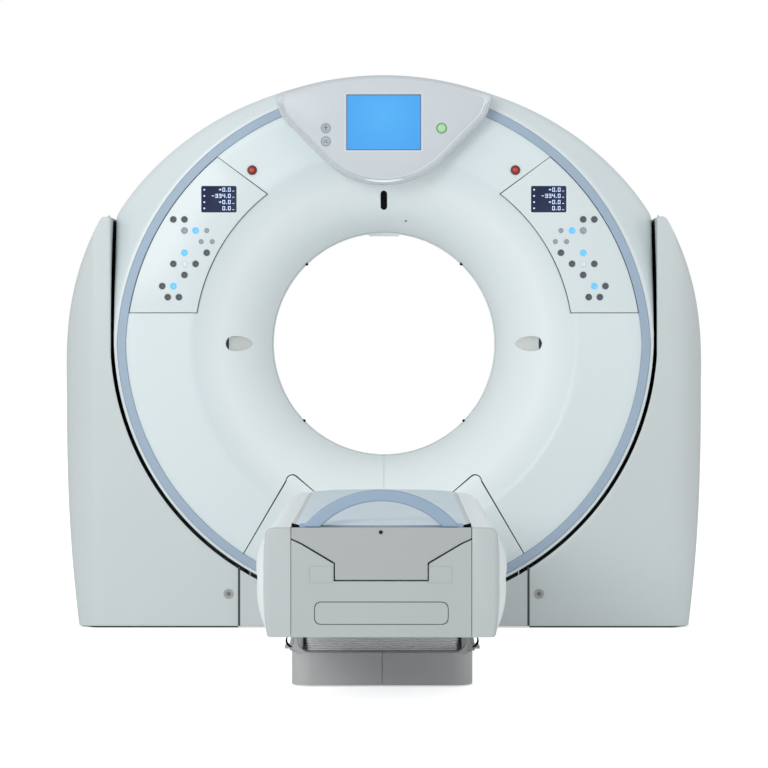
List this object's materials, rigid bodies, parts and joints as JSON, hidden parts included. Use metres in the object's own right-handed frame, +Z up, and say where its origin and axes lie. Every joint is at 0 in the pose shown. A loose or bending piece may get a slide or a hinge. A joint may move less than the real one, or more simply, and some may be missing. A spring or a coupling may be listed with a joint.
{
  "type": "ct scanner",
  "caption": "Tilting ring gantry between two floor stands, with console hood, control panels and bore, and a lifting patient couch with sliding top in front of it.",
  "frame": {"origin": "on the floor, straight below the middle of the bore, at the centre of the gantry's anchors", "axes": "+Z up, +Y along the bore away from the couch, +X to the right seen from the couch's foot end"},
  "size_m": [2.1848, 3.5, 1.873],
  "materials": {
    "housing": "satin",
    "trim": "satin",
    "fascia": "satin",
    "gap_black": "matte",
    "dark_glass": "gloss",
    "screen_blue": "gloss",
    "keys": "matte",
    "lamp_grey": "satin",
    "red": "satin",
    "green": "satin",
    "frame_paint": "satin",
    "steel": "satin",
    "aluminium": "satin",
    "pack_paint": "matte",
    "belt": "matte",
    "bellows": "matte",
    "base_grey": "satin",
    "cradle": "satin",
    "pad": "satin",
    "handle": "satin"
  },
  "bodies": {
    "floor_unit": {"gantry_base_frame": "frame_paint", "stand_cover_left": "housing", "stand_cover_right": "housing", "stand_liner_left": "gap_black", "stand_liner_right": "gap_black", "base_cover_front": "housing", "base_cover_rear": "housing", "tilt_bearings": "steel", "tilt_gearmotor": "pack_paint", "stand_locks": "lamp_grey", "floor_duct": "base_grey", "couch_base_plate": "frame_paint", "couch_base_cover_left": "base_grey", "couch_base_cover_right": "base_grey", "column_outer": "frame_paint", "bellows": "bellows"},
    "drum": {"tilt_frame": "frame_paint", "front_cover": "housing", "control_panel_left": "housing", "control_panel_right": "housing", "keypad_left": "keys", "keypad_right": "keys", "display_left": "dark_glass", "display_right": "dark_glass", "trim_ring": "trim", "apron_insert": "housing", "casing_shell": "housing", "rear_cover": "housing", "bore_liner": "housing", "lateral_laser_windows": "dark_glass", "top_laser_window": "dark_glass", "hood_shell": "housing", "hood_fascia": "fascia", "touchscreen": "screen_blue", "status_icons": "lamp_grey", "drive_motor": "pack_paint", "drive_belt": "belt"},
    "rotor": {"rotor_ring": "aluminium", "slip_ring": "steel", "xray_tube": "pack_paint", "hv_generator": "pack_paint", "heat_exchanger": "aluminium", "detector_array": "aluminium"},
    "pulley": {"drive_pulley": "steel"},
    "stop_left": {"estop_left": "red"},
    "stop_right": {"estop_right": "red"},
    "start": {"start_button": "green"},
    "foot_pedal_left": {"pedal_left": "base_grey"},
    "foot_pedal_right": {"pedal_right": "base_grey"},
    "column": {"column_middle": "steel"},
    "lift": {"couch_frame": "frame_paint", "side_cover_left": "housing", "side_cover_right": "housing", "foot_cover": "housing", "foot_panel": "housing"},
    "top": {"couchtop": "cradle", "mattress": "pad", "end_cover": "housing", "arch_handle": "handle"}
  },
  "joints": [
    {"name": "gantry_tilt", "type": "hinge", "parent": "floor_unit", "child": "drum", "pos_m": [0, 0, 0.965], "axis": [1, 0, 0], "range_deg": [-30, 30]},
    {"name": "rotor_spin", "type": "hinge", "parent": "drum", "child": "rotor", "pos_m": [0, 0.12, 0.965], "axis": [0, 1, 0], "continuous": true},
    {"name": "pulley_spin", "type": "hinge", "parent": "drum", "child": "pulley", "pos_m": [-0.5869, 0.135, 0.3781], "axis": [0, 1, 0], "continuous": true},
    {"name": "stop_left_press", "type": "slide", "parent": "drum", "child": "stop_left", "axis": [0, 1, 0], "range_m": [0, 0.004], "stiffness_N_per_m": 1500},
    {"name": "stop_right_press", "type": "slide", "parent": "drum", "child": "stop_right", "axis": [0, 1, 0], "range_m": [0, 0.004], "stiffness_N_per_m": 1500},
    {"name": "start_press", "type": "slide", "parent": "drum", "child": "start", "axis": [0, 1, 0], "range_m": [0, 0.0025], "stiffness_N_per_m": 1200},
    {"name": "pedal_left_press", "type": "hinge", "parent": "floor_unit", "child": "foot_pedal_left", "pos_m": [-0.256, -2.275, 0.104], "axis": [0, -1, 0], "range_deg": [0, 8], "stiffness_Nm_per_rad": 8},
    {"name": "pedal_right_press", "type": "hinge", "parent": "floor_unit", "child": "foot_pedal_right", "pos_m": [0.256, -2.275, 0.104], "axis": [0, 1, 0], "range_deg": [0, 8], "stiffness_Nm_per_rad": 8},
    {"name": "couch_lift", "type": "slide", "parent": "floor_unit", "child": "lift", "axis": [0, 0, 1], "range_m": [0, 0.42], "deforming": ["bellows"]},
    {"name": "column_middle_slide", "type": "slide", "parent": "floor_unit", "child": "column", "axis": [0, 0, 1], "range_m": [0, 0.21]},
    {"name": "couchtop_slide", "type": "slide", "parent": "lift", "child": "top", "axis": [0, 1, 0], "range_m": [0, 0.6]}
  ],
  "couplings": [
    {"joint": "pulley_spin", "follows": "rotor_spin", "ratio": 17.333},
    {"joint": "column_middle_slide", "follows": "couch_lift", "ratio": 0.5}
  ]
}
